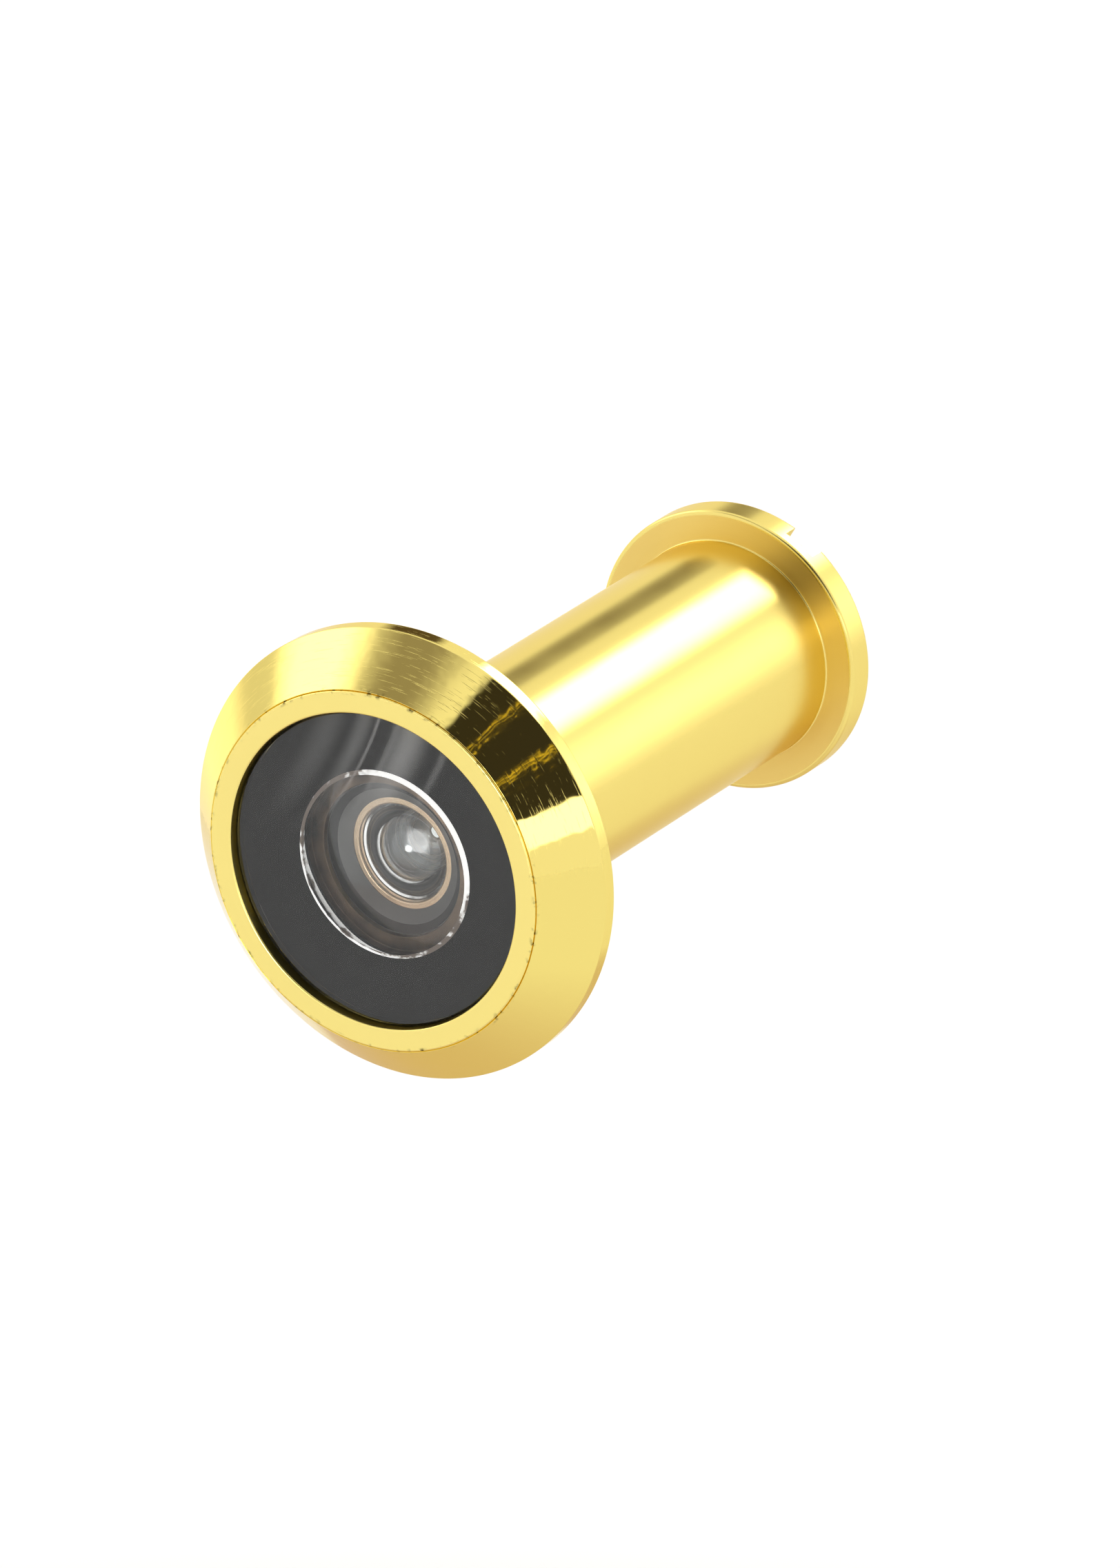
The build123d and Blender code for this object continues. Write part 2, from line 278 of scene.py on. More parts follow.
def turned(name, outline, material, segments=360):
    """A surface of revolution about the optical axis, from an outline in millimetres.

    The point at turn t on outline point (r, y) is (r cos t, y, r sin t). An outline whose two
    ends lie on the axis gets one vertex at each pole, and any other outline is closed."""
    outline = np.asarray(outline, float)
    if signed_area(outline) < 0:
        outline = outline[::-1]
    solid = abs(outline[0, 0]) < 1e-9 and abs(outline[-1, 0]) < 1e-9
    body = outline[1:-1] if solid else outline
    turns = np.linspace(0, 2 * math.pi, segments, endpoint=False)
    r, y = body[:, :1], body[:, 1:]
    grid = np.stack([r * np.cos(turns), y + 0 * turns, r * np.sin(turns)], -1)
    count = len(body)
    index = np.arange(count * segments).reshape(count, segments)
    rows = index if solid else np.vstack([index, index[:1]])
    here, there = rows[:-1], rows[1:]
    faces = np.stack([here, there, np.roll(there, -1, 1), np.roll(here, -1, 1)], -1).reshape(-1, 4)
    vertices = grid.reshape(-1, 3)
    faces = faces.tolist()
    if solid:
        first, last = len(vertices), len(vertices) + 1
        vertices = np.vstack([vertices, [[0, outline[0, 1], 0], [0, outline[-1, 1], 0]]])
        beside = np.roll(np.arange(segments), -1)
        faces += [[first, int(a), int(b)] for a, b in zip(index[0], index[0][beside])]
        faces += [[last, int(b), int(a)] for a, b in zip(index[-1], index[-1][beside])]
    mesh = bpy.data.meshes.new(name)
    mesh.from_pydata((vertices * MM).tolist(), [], faces)
    mesh.materials.append(material)
    mesh.polygons.foreach_set("use_smooth", np.full(len(mesh.polygons), True))
    piece = bpy.data.objects.new(name, mesh)
    bpy.context.scene.collection.objects.link(piece)
    return piece


def sharpen(piece, degrees=25):
    """Splits the shading at edges that turn by more than an angle."""
    work = bmesh.new()
    work.from_mesh(piece.data)
    for edge in work.edges:
        edge.smooth = len(edge.link_faces) == 2 and edge.calc_face_angle() < math.radians(degrees)
    work.to_mesh(piece.data)
    work.free()


def turned_place(tree):
    """Sockets for a point's Object coordinates, its distance from the optical axis, and its y."""
    point = add(tree, "ShaderNodeTexCoord").outputs["Object"]
    across = add(tree, "ShaderNodeVectorMath", {0: point, 1: (1, 0, 1)}, operation="MULTIPLY").outputs[0]
    radius = add(tree, "ShaderNodeVectorMath", {0: across}, operation="LENGTH").outputs["Value"]
    along = add(tree, "ShaderNodeSeparateXYZ", {0: point}).outputs["Y"]
    return point, radius, along


ROSE_R, FACE_R, ROSE_HOLE_R = 14.0, 11.15, 7.3
RIM_Y, FACE_Y, CUP_BACK_Y = -1.0, -4.2, -0.9
SEAM = 0.08                       # the step beside the seam
# Grime is full up to the first distance from the seam, gone at the second, and reaches down to the third.
GRIME_NEAR, GRIME_FAR, GRIME_DEEP = 0.06, 0.24, 0.8
GOLD = srgb("#EFDA7D")
GOLD_EDGE = srgb("#F5E9CB")       # towards the grazing angle the brass goes whiter
SEAM_GRIME = srgb("#4A3B1C")


def seam_grime(tree, point, radius, unmarked):
    """Colour of brass with the dark specks that collect beside the pressed seam."""
    near = add(tree, "ShaderNodeMath", {0: radius, 1: FACE_R * MM}, operation="SUBTRACT").outputs[0]
    near = add(tree, "ShaderNodeMath", {0: near}, operation="ABSOLUTE").outputs[0]
    near = add(
        tree, "ShaderNodeMapRange", {"Value": near, "From Min": GRIME_FAR * MM, "From Max": GRIME_NEAR * MM}
    ).outputs[0]
    specks = add(tree, "ShaderNodeTexNoise", {"Vector": point, "Scale": 2.2 / MM, "Detail": 2.0}).outputs[0]
    specks = add(
        tree, "ShaderNodeMapRange", {"Value": specks, "From Min": 0.56, "From Max": 0.78}
    ).outputs[0]
    along = add(tree, "ShaderNodeSeparateXYZ", {0: point}).outputs["Y"]
    front = add(
        tree, "ShaderNodeMapRange",
        {"Value": along, "From Min": (FACE_Y + GRIME_DEEP) * MM,
         "From Max": (FACE_Y + GRIME_DEEP / 2) * MM},
    ).outputs[0]
    grime = add(tree, "ShaderNodeMath", {0: near, 1: specks}, operation="MULTIPLY").outputs[0]
    grime = add(tree, "ShaderNodeMath", {0: grime, 1: front}, operation="MULTIPLY").outputs[0]
    return add(tree, "ShaderNodeMix", {0: grime, 6: unmarked, 7: SEAM_GRIME}, data_type="RGBA").outputs[2]


polished, tree, output = new_material("polished lacquered brass")
point, radius, along = turned_place(tree)
# Buffing leaves a faint orange peel, a few millimetres and less across, under the lacquer.
peel = add(
    tree, "ShaderNodeTexNoise", {"Vector": point, "Scale": 0.26 / MM, "Detail": 3.0, "Roughness": 0.62}
).outputs[0]
# Hairlines: a fine noise stretched forty to one, seen here and there.
slant = add(tree, "ShaderNodeMapping", {"Vector": point, "Rotation": (0.4, 0.9, 0.3), "Scale": (1, 40, 1)})
hairs = add(
    tree, "ShaderNodeTexNoise", {"Vector": slant.outputs[0], "Scale": 0.5 / MM, "Detail": 3.0}
).outputs[0]
hair_lines = add(
    tree, "ShaderNodeMapRange", {"Value": hairs, "From Min": 0.62, "From Max": 0.72}
).outputs[0]
soft_bump = add(tree, "ShaderNodeBump", {"Height": peel, "Distance": 0.07 * MM, "Strength": 0.35})
fine_bump = add(
    tree, "ShaderNodeBump",
    {"Height": hair_lines, "Distance": 0.004 * MM, "Strength": 0.5, "Normal": soft_bump.outputs[0]},
)
haze = add(
    tree, "ShaderNodeMapRange", {"Value": hair_lines, "To Min": 0.045, "To Max": 0.11}
).outputs[0]
polished_surface = add(
    tree, "ShaderNodeBsdfPrincipled",
    {"Base Color": seam_grime(tree, point, radius, GOLD), "Metallic": 1.0, "Roughness": haze,
     "Specular Tint": GOLD_EDGE, "Normal": fine_bump.outputs[0]},
)
tree.links.new(polished_surface.outputs[0], output.inputs["Surface"])


def finished(piece, node, body):
    """Sharpens a piece, and sets it in place of its CAD node."""
    sharpen(piece)
    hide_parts(node)
    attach(piece, body)
    return piece


rose = turned(
    "polished_rose",
    rounded(
        [(FACE_R, FACE_Y + 2 * SEAM), (FACE_R + SEAM, FACE_Y + SEAM), (ROSE_R, RIM_Y), (ROSE_R, 0),
         (ROSE_HOLE_R, 0), (ROSE_HOLE_R, CUP_BACK_Y), (FACE_R, CUP_BACK_Y)],
        [0, 0.02, 0.12, 0.12, 0.1, 0, 0],
    ),
    polished, segments=720,
)
finished(rose, "bevel_rose", "front_half")

# ------------------------------------------------------------------------------------ barrel and lens cup
# One brass turning: the cup round the objective, whose face is left satin, a hub that centres
# the rose, and the barrel with its 1 mm thread. Turning leaves fine rings round the axis.
RECESS_R, SEAL_HOLE_R, HUB_R = 9.8, 8.2, 7.25
MASK_BACK_Y, SEAL_BACK_Y = -2.03, -1.68
HOLLOW_R, LIP_R, BORE_R = 5.85, 5.0, 5.3
LIP_Y, STACK_Y, HUB_Y = -1.75, -1.45, -0.3
PITCH = 1.0
ROOT_R, CREST_R = 5.85, 6.3
CREST_HALF, ROOT_HALF = 0.12, 0.36
THREAD_START_Y, THREAD_END_Y, BARREL_END_Y = 0.55, 31.8, 32.2
FIRST_RIDGE_Y = 1.0             # where the ridge crosses straight above the axis


def turning_marks(tree, radius, along, rings_per_mm, distance):
    """Fine turned rings, and a bump made of them, a number of millimetres deep.

    They are noise that depends only on the way along the turned outline."""
    way = add(tree, "ShaderNodeMath", {0: radius, 1: along}, operation="ADD").outputs[0]
    rings = add(
        tree, "ShaderNodeTexNoise", {"W": way, "Scale": rings_per_mm / MM, "Detail": 3.0},
        noise_dimensions="1D",
    ).outputs[0]
    return rings, add(tree, "ShaderNodeBump", {"Height": rings, "Distance": distance * MM, "Strength": 1.0})


satin_face, tree, output = new_material("satin turned brass, lacquered")
point, radius, along = turned_place(tree)
rings, marks = turning_marks(tree, radius, along, 5.0, 0.0004)
mottle = add(tree, "ShaderNodeTexNoise", {"Vector": point, "Scale": 0.42 / MM, "Detail": 4.0}).outputs[0]
face_roughness = add(
    tree, "ShaderNodeMapRange", {"Value": mottle, "To Min": 0.19, "To Max": 0.26}
).outputs[0]
face_surface = add(
    tree, "ShaderNodeBsdfPrincipled",
    {"Base Color": seam_grime(tree, point, radius, srgb("#F2DE85")), "Metallic": 1.0,
     "Specular Tint": GOLD_EDGE, "Roughness": face_roughness, "Normal": marks.outputs[0]},
)
tree.links.new(face_surface.outputs[0], output.inputs["Surface"])


def lathe_strip(outline, segments):
    """Vertices and faces of an open outline turned about the axis, both in rows."""
    turns = np.linspace(0, 2 * math.pi, segments, endpoint=False)
    r, y = outline[:, :1], outline[:, 1:]
    vertices = np.stack([r * np.cos(turns), y + 0 * turns, r * np.sin(turns)], -1).reshape(-1, 3)
    index = np.arange(len(vertices)).reshape(len(outline), segments)
    here, there = index[:-1], index[1:]
    faces = np.stack([here, there, np.roll(there, -1, 1), np.roll(here, -1, 1)], -1).reshape(-1, 4)
    return vertices, faces


def thread_strip(foot_r, tip_r, ridge_y, start_y, end_y, tip_half, foot_half, segments):
    """A screw thread between two heights, as one strip wound round the axis.

    Along the strip the turn t grows by 2 pi and the height by one pitch a turn. Across it the
    radius goes from the foot up a flank to the tip and down again. The ridge fades out within
    half a turn of each end, and the height is held between the two ends, so that the strip's
    ends close onto plain rings. Turn 0 is straight above the axis."""
    rise = tip_r - foot_r
    soft = 0.03 * PITCH             # the foot and the tip are a little rounded
    across = np.array([
        (-PITCH / 2, 0), (-foot_half - soft, 0), (-foot_half + soft, 0.08), (-tip_half - soft, 0.94),
        (-tip_half + soft, 1), (tip_half - soft, 1), (tip_half + soft, 0.94), (foot_half - soft, 0.08),
        (foot_half + soft, 0), (PITCH / 2, 0),
    ])
    first = math.floor((start_y - ridge_y) / PITCH) - 1
    last = math.ceil((end_y - ridge_y) / PITCH) + 1
    steps = np.arange(first * segments, last * segments + 1)
    turn = 2 * math.pi * steps[:, None] / segments
    y = ridge_y + PITCH * steps[:, None] / segments + across[:, 0]
    fade = np.clip(np.minimum(y - start_y, end_y - y) / (0.5 * PITCH), 0, 1)
    y = np.clip(y, start_y, end_y)
    r = foot_r + rise * across[:, 1] * fade
    quarter = math.pi / 2 - turn
    vertices = np.stack([r * np.cos(quarter), y, r * np.sin(quarter)], -1).reshape(-1, 3)
    index = np.arange(len(vertices)).reshape(len(steps), len(across))
    a, b = index[:-1, :-1], index[1:, :-1]
    faces = np.stack([a, b, index[1:, 1:], index[:-1, 1:]], -1).reshape(-1, 4)
    return vertices, faces


WELD = 0.0005 * MM              # points closer than this are one


def welded(name, strips, material):
    """One closed piece from strips whose edges meet: doubles are merged and normals set outwards."""
    work = bmesh.new()
    for vertices, faces in strips:
        made = [work.verts.new(v) for v in (vertices * MM).tolist()]
        for face in faces.tolist():
            work.faces.new([made[i] for i in face])
    bmesh.ops.remove_doubles(work, verts=work.verts, dist=WELD)
    bmesh.ops.dissolve_degenerate(work, edges=work.edges, dist=WELD)
    bmesh.ops.recalc_face_normals(work, faces=work.faces)
    for face in work.faces:
        face.smooth = True
    mesh = bpy.data.meshes.new(name)
    work.to_mesh(mesh)
    work.free()
    mesh.materials.append(material)
    piece = bpy.data.objects.new(name, mesh)
    bpy.context.scene.collection.objects.link(piece)
    return piece


def paint(piece, material, low_y, high_y, low_r, high_r):
    """Gives another material to the faces whose middle lies in a band of heights and radii."""
    piece.data.materials.append(material)
    middles = np.empty(3 * len(piece.data.polygons))
    piece.data.polygons.foreach_get("center", middles)
    x, y, z = middles.reshape(-1, 3).T / MM
    r = np.hypot(x, z)
    inside = (y > low_y) & (y < high_y) & (r > low_r) & (r < high_r)
    index = np.empty(len(inside), dtype=np.int32)
    piece.data.polygons.foreach_get("material_index", index)
    index[inside] = len(piece.data.materials) - 1
    piece.data.polygons.foreach_set("material_index", index)


# Painted shade: the bore behind the glass is bare brass, coloured a dark brown for the shade that fills it.
bore_shade_brass, tree, output = new_material("brass darkened by painted shade")
point, radius, along = turned_place(tree)
shade_mottle = add(tree, "ShaderNodeTexNoise", {"Vector": point, "Scale": 0.35 / MM, "Detail": 4.0}).outputs[0]
shade_mottle = add(tree, "ShaderNodeMapRange", {"Value": shade_mottle, "From Min": 0.35, "From Max": 0.65}).outputs[0]
bore_shade_colour = add(
    tree, "ShaderNodeMix", {0: shade_mottle, 6: srgb("#75604C"), 7: srgb("#3A3028")}, data_type="RGBA"
).outputs[2]
bore_shade_surface = add(
    tree, "ShaderNodeBsdfPrincipled", {"Base Color": bore_shade_colour, "Metallic": 1.0, "Roughness": 0.42}
)
tree.links.new(bore_shade_surface.outputs[0], output.inputs["Surface"])

BARREL_SEGMENTS = 180
BARREL_EDGE = 0.1               # rounding of the barrel's end
PAINT_EDGE = 0.01               # how far a painted band reaches past the faces that it takes
cup = rounded(
    [(ROOT_R, BARREL_END_Y), (BORE_R, BARREL_END_Y), (BORE_R, STACK_Y), (LIP_R, STACK_Y), (LIP_R, LIP_Y),
     (HOLLOW_R, LIP_Y), (HOLLOW_R, MASK_BACK_Y), (SEAL_HOLE_R, MASK_BACK_Y), (SEAL_HOLE_R, SEAL_BACK_Y),
     (RECESS_R, SEAL_BACK_Y), (RECESS_R, FACE_Y), (FACE_R, FACE_Y), (FACE_R, CUP_BACK_Y),
     (HUB_R, CUP_BACK_Y), (HUB_R, HUB_Y), (ROOT_R, HUB_Y)],
    [BARREL_EDGE, 0.08, 0, 0, 0.05, 0.05, 0, 0, 0, 0, 0.1, SEAM, 0, 0, 0.05, 0.1],
)
# The outline is opened along the barrel, where the thread takes its place.
foot_y = BARREL_END_Y - 1.25 * BARREL_EDGE
foot = int(np.argmin(np.hypot(cup[:, 0] - ROOT_R, cup[:, 1] - foot_y)))
opened = np.vstack([[ROOT_R, THREAD_END_Y], np.roll(cup, -foot, axis=0), [ROOT_R, THREAD_START_Y]])
barrel = welded(
    "turned_barrel",
    [lathe_strip(opened, BARREL_SEGMENTS),
     thread_strip(ROOT_R, CREST_R, FIRST_RIDGE_Y, THREAD_START_Y, THREAD_END_Y, CREST_HALF, ROOT_HALF,
                  BARREL_SEGMENTS)],
    satin_face,
)
# The bore behind the glass takes the painted shade.
paint(barrel, bore_shade_brass, MASK_BACK_Y - PAINT_EDGE, BARREL_END_Y - 2 * BARREL_EDGE, 0, HOLLOW_R + PAINT_EDGE)
finished(barrel, "front_barrel", "front_half")

# ------------------------------------------------------------------------------------ objective
# A flat-fronted disc of optical glass with a hollow ground into its back. The hollow's edge is left ground,
# and carries a painted glow that shows as a white ring. Behind it lie a black ring and a rubber seal.
LENS_FRONT_Y, LENS_BACK_Y = -3.65, -2.15
HOLLOW_DEPTH, GROUND_EDGE = 1.1, 0.27
SNUG = 0.05                     # clearance round a lens or a ring in its seat
LENS_R, LENS_CHAMFER = RECESS_R - SNUG, 0.15
LENS_BACK_CHAMFER = 0.05
FLAT_MARGIN = 0.05              # a narrow ring of a lens's flat, beside its chamfer
CROWN_INDEX, FLINT_INDEX = 1.54, 1.85


def bowl(edge_r, edge_y, apex_y, count=24):
    """Half section of a spherical surface, from its apex on the axis to its edge."""
    depth = edge_y - apex_y
    radius = (edge_r ** 2 + depth ** 2) / (2 * abs(depth))
    r = edge_r * np.sin(np.linspace(0, math.pi / 2, count))
    y = apex_y + np.sign(depth) * (radius - np.sqrt(radius ** 2 - r ** 2))
    return np.stack([r, y], 1)


def clear_glass(tree, index=CROWN_INDEX):
    """Surface of clear polished glass: crown glass, unless it is given another index."""
    return add(
        tree, "ShaderNodeBsdfPrincipled",
        {"Base Color": (0.97, 0.985, 0.98, 1), "Roughness": 0.0, "IOR": index, "Transmission Weight": 1.0},
    ).outputs[0]


glass, tree, output = new_material("polished optical glass")
tree.links.new(clear_glass(tree), output.inputs["Surface"])

# The front has been wiped: a thin greasy film is left in bands that curve down from the top.
WIPE_TOP_Z, WIPE_LEAN, WIPE_CURVE = 9.2 * MM, 0.35, 0.03 / MM
WIPE_GONE, WIPE_FULL = 9.0 * MM, 1.5 * MM     # how far down the wipe has faded out, and is still full
# Each band has a place across the wipe and a half width, both in millimetres, and a strength.
WIPES = (
    (2.5, 1.7, 0.17), (1.4, 0.35, 0.06), (0.1, 0.2, 0.13), (-0.8, 0.9, 0.08), (-3.0, 1.4, 0.05),
    (5.0, 0.4, 0.08),
)
wiped, tree, output = new_material("optical glass with a wiped film")
point = add(tree, "ShaderNodeTexCoord").outputs["Object"]
sides = add(tree, "ShaderNodeSeparateXYZ", {0: point})
fall = add(tree, "ShaderNodeMath", {0: WIPE_TOP_Z, 1: sides.outputs["Z"]}, operation="SUBTRACT").outputs[0]
lean = add(
    tree, "ShaderNodeMath", {0: fall, 1: WIPE_CURVE, 2: WIPE_LEAN}, operation="MULTIPLY_ADD"
).outputs[0]
bend = add(tree, "ShaderNodeMath", {0: fall, 1: lean}, operation="MULTIPLY").outputs[0]
across = add(tree, "ShaderNodeMath", {0: sides.outputs["X"], 1: bend}, operation="ADD").outputs[0]
fade = add(
    tree, "ShaderNodeMapRange", {"Value": fall, "From Min": WIPE_GONE, "From Max": WIPE_FULL},
    interpolation_type="SMOOTHSTEP",
).outputs[0]
streaks = add(tree, "ShaderNodeCombineXYZ", {"X": across, "Z": fall}).outputs[0]
streaks = add(tree, "ShaderNodeMapping", {"Vector": streaks, "Scale": (1, 1, 0.06)}).outputs[0]
streaks = add(tree, "ShaderNodeTexNoise", {"Vector": streaks, "Scale": 2.4 / MM, "Detail": 3.0}).outputs[0]
film = add(tree, "ShaderNodeMapRange", {"Value": streaks, "To Min": 0.0, "To Max": 0.012}).outputs[0]
for place, half, strength in WIPES:
    off = add(tree, "ShaderNodeMath", {0: across, 1: place * MM}, operation="SUBTRACT").outputs[0]
    off = add(tree, "ShaderNodeMath", {0: off}, operation="ABSOLUTE").outputs[0]
    band = add(
        tree, "ShaderNodeMapRange",
        {"Value": off, "From Min": half * MM, "From Max": 0, "To Max": strength},
        interpolation_type="SMOOTHSTEP",
    ).outputs[0]
    film = add(tree, "ShaderNodeMath", {0: band, 1: fade, 2: film}, operation="MULTIPLY_ADD").outputs[0]
grease = add(tree, "ShaderNodeBsdfDiffuse", {"Color": srgb("#F2F2F0")}).outputs[0]
wiped_surface = add(tree, "ShaderNodeMixShader", {0: film, 1: clear_glass(tree), 2: grease})
tree.links.new(wiped_surface.outputs[0], output.inputs["Surface"])

LOW_LEFT = (-0.8, 0, -0.6)
ground, tree, output = new_material("ground glass")
point, radius, along = turned_place(tree)
grit = add(tree, "ShaderNodeTexNoise", {"Vector": point, "Scale": 5 / MM, "Detail": 2.0}).outputs[0]
white = add(
    tree, "ShaderNodeMix", {0: grit, 6: srgb("#FFFFFF"), 7: srgb("#F0EFEC")}, data_type="RGBA"
).outputs[2]
# Painted light: the ground edge is painted white and glowing at the upper right and the lower left, and
# darker at the upper left and the lower right, in patches less than a millimetre long, and on the inner
# part of it at the lower left.
glow_patches = add(tree, "ShaderNodeTexNoise", {"Vector": point, "Scale": 1.5 / MM, "Detail": 4.0}).outputs[0]
sides = add(tree, "ShaderNodeSeparateXYZ", {0: point})
product = add(
    tree, "ShaderNodeMath", {0: sides.outputs["X"], 1: sides.outputs["Z"]}, operation="MULTIPLY"
).outputs[0]
glow_share = add(
    tree, "ShaderNodeMath", {0: product, 1: 0.6 / (HOLLOW_R * MM) ** 2, 2: glow_patches},
    operation="MULTIPLY_ADD",
).outputs[0]
low_left = add(
    tree, "ShaderNodeVectorMath", {0: point, 1: LOW_LEFT}, operation="DOT_PRODUCT"
).outputs["Value"]
low_left = add(
    tree, "ShaderNodeMapRange", {"Value": low_left, "From Max": HOLLOW_R * MM, "To Max": 0.4}
).outputs[0]
inward = add(
    tree, "ShaderNodeMapRange",
    {"Value": radius, "From Min": HOLLOW_R * MM, "From Max": (HOLLOW_R - GROUND_EDGE) * MM},
).outputs[0]
inner_shade = add(tree, "ShaderNodeMath", {0: low_left, 1: inward}, operation="MULTIPLY").outputs[0]
glow_share = add(tree, "ShaderNodeMath", {0: glow_share, 1: inner_shade}, operation="SUBTRACT").outputs[0]
glow_share = add(tree, "ShaderNodeMapRange", {"Value": glow_share, "From Min": 0.3, "From Max": 0.46}).outputs[0]
painted_glow_colour = add(
    tree, "ShaderNodeMix", {0: glow_share, 6: srgb("#5F554E"), 7: white}, data_type="RGBA"
).outputs[2]
# The ground edge emits light as a painted glow, though it is no lamp.
ground_surface = add(
    tree, "ShaderNodeBsdfPrincipled",
    {"Base Color": painted_glow_colour, "Roughness": 0.8, "Emission Color": painted_glow_colour,
     "Emission Strength": 0.8},
)
tree.links.new(ground_surface.outputs[0], output.inputs["Surface"])

front_glass = turned(
    "front_glass",
    np.vstack([
        bowl(HOLLOW_R - GROUND_EDGE, LENS_BACK_Y - GROUND_EDGE, LENS_BACK_Y - HOLLOW_DEPTH),
        [(HOLLOW_R, LENS_BACK_Y), (LENS_R - LENS_BACK_CHAMFER, LENS_BACK_Y),
         (LENS_R, LENS_BACK_Y - LENS_BACK_CHAMFER),
         (LENS_R, LENS_FRONT_Y + LENS_CHAMFER), (LENS_R - LENS_CHAMFER, LENS_FRONT_Y),
         (LENS_R - LENS_CHAMFER - FLAT_MARGIN, LENS_FRONT_Y), (0, LENS_FRONT_Y)],
    ]),
    glass,
)
paint(front_glass, ground, LENS_BACK_Y - GROUND_EDGE, LENS_BACK_Y, HOLLOW_R - GROUND_EDGE, HOLLOW_R)
paint(front_glass, wiped, LENS_FRONT_Y - PAINT_EDGE, LENS_FRONT_Y + PAINT_EDGE, 0, LENS_R)
finished(front_glass, "objective_lens", "front_half")

# The mask is painted on the glass, and overlaps it by a hair, so no light is turned back between the two.
CONTACT = 0.004
black_paint, tree, output = new_material("matt black lens paint")
point = add(tree, "ShaderNodeTexCoord").outputs["Object"]
grain = add(tree, "ShaderNodeTexNoise", {"Vector": point, "Scale": 0.7 / MM, "Detail": 2.0}).outputs[0]
paint_colour = add(
    tree, "ShaderNodeMix", {0: grain, 6: srgb("#161617"), 7: srgb("#202021")}, data_type="RGBA"
).outputs[2]
paint_surface = add(
    tree, "ShaderNodeBsdfPrincipled",
    {"Base Color": paint_colour, "Roughness": 0.8, "Specular IOR Level": 0.0},
)
tree.links.new(paint_surface.outputs[0], output.inputs["Surface"])

mask = turned(
    "black_mask",
    rounded(
        [(LENS_R, LENS_BACK_Y - CONTACT), (LENS_R, MASK_BACK_Y), (HOLLOW_R, MASK_BACK_Y),
         (HOLLOW_R, LENS_BACK_Y - CONTACT)],
        [0, 0.03, 0.03, 0],
    ),
    black_paint,
)
finished(mask, "mask_ring", "front_half")

GAP = 0.012                     # air left between a lens and the ring behind it
black, tree, output = new_material("black turned acetal")
point, radius, along = turned_place(tree)
rings, marks = turning_marks(tree, radius, along, 2.5, 0.004)
black_roughness = add(
    tree, "ShaderNodeMapRange", {"Value": rings, "To Min": 0.2, "To Max": 0.4}
).outputs[0]
# Partly painted reflection: the lighter grey rings in the colour stand in for soft arcs of reflected light;
# the rings in the roughness and the bump are real turning marks.
acetal_and_arc_colour = add(
    tree, "ShaderNodeMix", {0: rings, 6: srgb("#444343"), 7: srgb("#7A7876")}, data_type="RGBA"
).outputs[2]
black_surface = add(
    tree, "ShaderNodeBsdfPrincipled",
    {"Base Color": acetal_and_arc_colour, "Roughness": black_roughness, "IOR": 1.48, "Normal": marks.outputs[0]},
)
tree.links.new(black_surface.outputs[0], output.inputs["Surface"])

rubber, tree, output = new_material("black nitrile rubber")
point = add(tree, "ShaderNodeTexCoord").outputs["Object"]
dust = add(tree, "ShaderNodeTexNoise", {"Vector": point, "Scale": 0.9 / MM, "Detail": 3.0}).outputs[0]
rubber_colour = add(
    tree, "ShaderNodeMix", {0: dust, 6: srgb("#232324"), 7: srgb("#2E2D2C")}, data_type="RGBA"
).outputs[2]
rubber_surface = add(tree, "ShaderNodeBsdfPrincipled", {"Base Color": rubber_colour, "Roughness": 0.75})
tree.links.new(rubber_surface.outputs[0], output.inputs["Surface"])

seal_r = SEAL_HOLE_R + SNUG
seal = turned(
    "rubber_seal",
    rounded(
        [(LENS_R, MASK_BACK_Y), (LENS_R, SEAL_BACK_Y), (seal_r, SEAL_BACK_Y), (seal_r, MASK_BACK_Y)],
        [0.08] * 4,
    ),
    rubber,
)
finished(seal, "lens_seal", "front_half")

# ------------------------------------------------------------------------------------ inner stack
# Inside the barrel: a black funnel, then a brass cell whose lip holds the small domed second
# lens, then a spacer and the third lens, and two screwed rings that lock the stack.
CONE_BACK_Y, CONE_HOLE_R = -0.3, 3.8
CONE_SHADE_Y = -1.05             # the front of the funnel is painted matt black up to here, as painted shade under the lip
CELL_BACK_Y, CELL_LIP_R, CELL_SEAT_Y, CELL_BORE_R = 7.4, 3.4, 0.2, 4.3
DOME_R, DOME_APEX_Y = 3.2, -1.0
SECOND_BACK_Y, SECOND_HOLLOW_R, SECOND_APEX_Y = 1.9, 2.8, 0.0
THIRD_FRONT_Y, THIRD_BACK_Y, THIRD_R = 3.8, 5.9, 3.2
THIRD_FRONT_DEEP, THIRD_BACK_DEEP = 0.6, 0.7

shade_share = (CONE_SHADE_Y - STACK_Y) / (CONE_BACK_Y - STACK_Y)
cone_shade_r = (LIP_R - SNUG) + shade_share * (CONE_HOLE_R - LIP_R + SNUG)
cone = turned(
    "black_funnel",
    rounded(
        [(LIP_R - SNUG, STACK_Y), (BORE_R - SNUG, STACK_Y), (BORE_R - SNUG, CONE_BACK_Y),
         (CONE_HOLE_R, CONE_BACK_Y), (cone_shade_r, CONE_SHADE_Y)],
        [0.03, 0, 0.05, 0.03, 0],
    ),
    black,
)
# Painted shade: the matt black band on the funnel's front stands for the shade under the lip.
paint(cone, black_paint, STACK_Y - PAINT_EDGE, CONE_SHADE_Y, 0, LIP_R)
finished(cone, "baffle_cone", "front_half")

